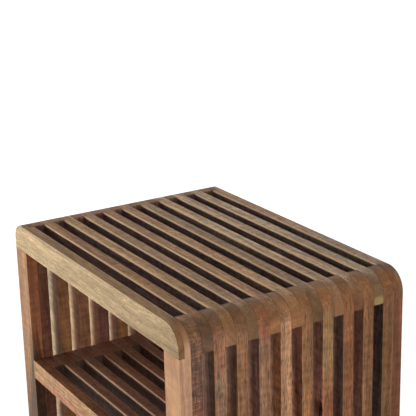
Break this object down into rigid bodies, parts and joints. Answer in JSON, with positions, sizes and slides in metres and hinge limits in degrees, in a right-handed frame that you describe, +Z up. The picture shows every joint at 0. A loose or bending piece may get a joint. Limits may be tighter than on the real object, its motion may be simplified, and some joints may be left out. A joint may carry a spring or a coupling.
{
  "type": "floating nightstand",
  "caption": "Wall-hung nightstand of spaced hardwood slats with rounded comb-jointed corners, an open slatted shelf between two compartments and keyhole hanger plates at the back.",
  "frame": {"origin": "on the wall plane, midway between the entry holes of the two keyhole hanger plates", "axes": "+X to the right seen from the front, along the width; +Y back, into the wall; +Z up"},
  "size_m": [0.45, 0.315, 0.42],
  "materials": {
    "mango_cream": "clear matt lacquer on sanded solid wood",
    "mango_tan": "clear matt lacquer on sanded solid wood",
    "mango_brown": "clear matt lacquer on sanded solid wood",
    "mango_umber": "clear matt lacquer on sanded solid wood",
    "mango_russet": "clear matt lacquer on sanded solid wood",
    "stained_plywood": "stained veneered plywood, matt",
    "zinc_steel": "zinc plated, passivated"
  },
  "bodies": {
    "root": {"front_top_rail": "mango_cream", "rear_top_rail": "mango_brown", "front_bottom_rail": "mango_tan", "rear_bottom_rail": "mango_brown", "bottom_slats": "mango_brown", "top_slat_1": "mango_brown", "shelf_slat_1": "mango_umber", "top_slat_2": "mango_brown", "shelf_slat_2": "mango_umber", "top_slat_3": "mango_brown", "shelf_slat_3": "mango_umber", "top_slat_4": "mango_brown", "shelf_slat_4": "mango_umber", "top_slat_5": "mango_brown", "shelf_slat_5": "mango_umber", "top_slat_6": "mango_brown", "shelf_slat_6": "mango_umber", "top_slat_7": "mango_brown", "shelf_slat_7": "mango_umber", "top_slat_8": "mango_brown", "shelf_slat_8": "mango_umber", "top_slat_9": "mango_brown", "shelf_slat_9": "mango_umber", "front_left_stile": "mango_tan", "front_right_stile": "mango_tan", "rear_left_stile": "mango_russet", "rear_right_stile": "mango_russet", "right_slat_1": "mango_umber", "left_slat_1": "mango_brown", "right_slat_2": "mango_brown", "left_slat_2": "mango_russet", "right_slat_3": "mango_brown", "left_slat_3": "mango_brown", "right_slat_4": "mango_brown", "left_slat_4": "mango_umber", "right_slat_5": "mango_tan", "left_slat_5": "mango_brown", "right_slat_6": "mango_brown", "left_slat_6": "mango_brown", "right_slat_7": "mango_cream", "left_slat_7": "mango_tan", "right_slat_8": "mango_russet", "left_slat_8": "mango_brown", "right_slat_9": "mango_brown", "left_slat_9": "mango_umber", "right_slat_10": "mango_umber", "left_slat_10": "mango_brown", "shelf_front_rail": "mango_tan", "shelf_rear_rail": "mango_brown", "shelf_spacers_left": "mango_umber", "shelf_spacers_right": "mango_umber", "back_panel": "stained_plywood", "hanger_screws": "zinc_steel", "hanger_plates": "zinc_steel"}
  },
  "joints": []
}
